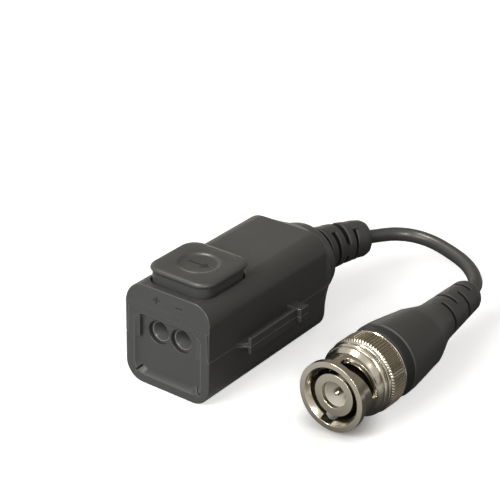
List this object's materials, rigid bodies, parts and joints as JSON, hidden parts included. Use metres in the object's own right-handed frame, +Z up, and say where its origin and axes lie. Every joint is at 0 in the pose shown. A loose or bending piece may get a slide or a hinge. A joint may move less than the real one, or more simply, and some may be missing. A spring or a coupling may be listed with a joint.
{
  "type": "passive video balun with coaxial pigtail",
  "caption": "Rounded box with two push-terminal wire entries, a square push button, a side stacking rail and a short curved coax lead to a bayonet coax plug.",
  "frame": {"origin": "on the flat base, under the middle of the box", "axes": "+Z up from the base, +Y from the wire entries towards the cable, +X towards the stacking rail"},
  "size_m": [0.0478, 0.0684, 0.0227],
  "materials": {
    "housing": "satin moulded ABS",
    "button": "satin moulded ABS",
    "block": "moulded nylon",
    "contact": "tinned brass",
    "spring_steel": "spring steel",
    "board": "solder mask on glass epoxy",
    "ferrite": "sintered ferrite",
    "enamelled_wire": "enamelled copper",
    "ceramic": "ceramic",
    "relief": "moulded soft PVC",
    "jacket": "smooth PVC",
    "nickel": "nickel plated",
    "insulator": "moulded acetal",
    "pin_plate": "plated",
    "seal": "silicone rubber"
  },
  "bodies": {
    "box": {"upper_housing": "housing", "lower_housing": "housing", "terminal_block": "block", "contact_plus": "contact", "contact_minus": "contact", "clamp_spring_plus": "spring_steel", "clamp_spring_minus": "spring_steel", "circuit_board": "board", "transformer_core": "ferrite", "pair_winding": "enamelled_wire", "coax_winding": "enamelled_wire", "surge_arrester": "ceramic", "coupling_capacitor": "ceramic", "balance_resistor": "ceramic", "match_resistor": "ceramic", "strain_relief": "relief", "cable_tail": "jacket", "core_lead": "contact", "shield_lead": "contact", "plug_shell": "nickel", "pin_insulator": "insulator", "centre_pin": "pin_plate", "seal_ring": "seal", "spring_washer": "spring_steel", "retaining_ring": "spring_steel", "crimp_ferrule": "nickel", "plug_boot": "relief", "plug_cable_end": "jacket", "cable": "jacket"},
    "button": {"push_button": "button"},
    "coupling": {"coupling_nut": "nickel"}
  },
  "joints": [
    {"name": "button_press", "type": "slide", "parent": "box", "child": "button", "axis": [0, 0, -1], "range_m": [0, 0.0015], "stiffness_N_per_m": 2000, "deforming": ["clamp_spring_plus", "clamp_spring_minus"]},
    {"name": "coupling_turn", "type": "hinge", "parent": "box", "child": "coupling", "pos_m": [0.0305, -0.0112, 0.00727], "axis": [0.0366, 0.9993, 0], "continuous": true}
  ]
}
